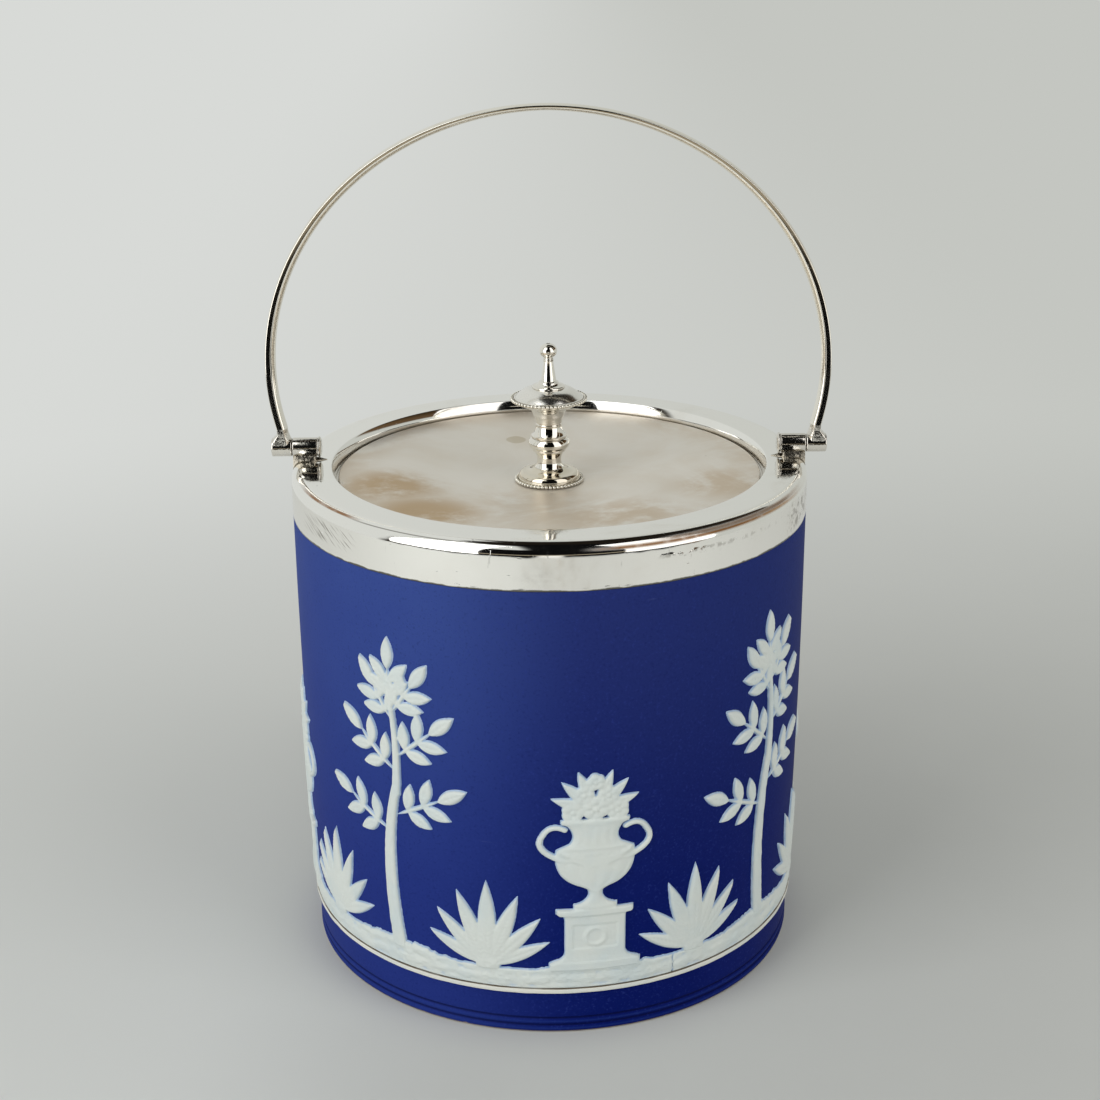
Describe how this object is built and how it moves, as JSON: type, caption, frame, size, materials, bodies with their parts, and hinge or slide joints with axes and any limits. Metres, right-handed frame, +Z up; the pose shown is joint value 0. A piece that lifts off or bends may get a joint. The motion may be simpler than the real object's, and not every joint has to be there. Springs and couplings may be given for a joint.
{
  "type": "biscuit jar",
  "caption": "Covered stoneware biscuit jar with white applied relief, a silver-plated collar, a swing bail handle and a lift-off lid with a turned knob.",
  "frame": {"origin": "centre of the foot ring's bottom face, on the surface the jar stands on", "axes": "+Z up along the jar's axis, +X through the handle's pivots to the right side, +Y from the front to the back"},
  "size_m": [0.144, 0.134, 0.2191],
  "materials": {
    "jasper_blue": "matte dark blue stoneware, pale glaze inside",
    "jasper_white": "matte white stoneware relief",
    "silver_plate": "polished silver plate, lightly tarnished",
    "lid_plate_silver": "dull silver plate with brown tarnish",
    "pin_steel": "plain turned metal",
    "plaster": "rough plaster of Paris"
  },
  "bodies": {
    "jar": {"jar_body": "jasper_blue", "relief_fillet": "jasper_white", "relief_ground": "jasper_white", "relief_urns": "jasper_white", "relief_trees": "jasper_white", "relief_plants": "jasper_white", "collar": "silver_plate", "collar_plaster": "plaster", "lid_seat_ring": "silver_plate", "left_lug_foot": "silver_plate", "right_lug_foot": "silver_plate", "left_lug_barrel": "silver_plate", "right_lug_barrel": "silver_plate"},
    "handle": {"handle_bail": "silver_plate", "left_knuckle": "silver_plate", "right_knuckle": "silver_plate", "left_pivot_pin": "pin_steel", "right_pivot_pin": "pin_steel"},
    "lid": {"lid_plate": "lid_plate_silver", "lid_skirt": "silver_plate", "knob_foot": "silver_plate", "knob_foot_beading": "silver_plate", "knob_lower_stem": "silver_plate", "knob_mid_ring": "silver_plate", "knob_upper_stem": "silver_plate", "knob_saucer": "silver_plate", "knob_saucer_beading": "silver_plate", "knob_finial": "silver_plate", "knob_stud": "pin_steel", "knob_washer": "pin_steel", "knob_nut": "pin_steel"}
  },
  "joints": [
    {"name": "handle_swing", "type": "hinge", "parent": "jar", "child": "handle", "pos_m": [0, 0, 0.13305], "axis": [1, 0, 0], "range_deg": [-124, 124]},
    {"name": "lid_lift", "type": "slide", "parent": "jar", "child": "lid", "axis": [0, 0, 1], "range_m": [0, 0.05]}
  ]
}
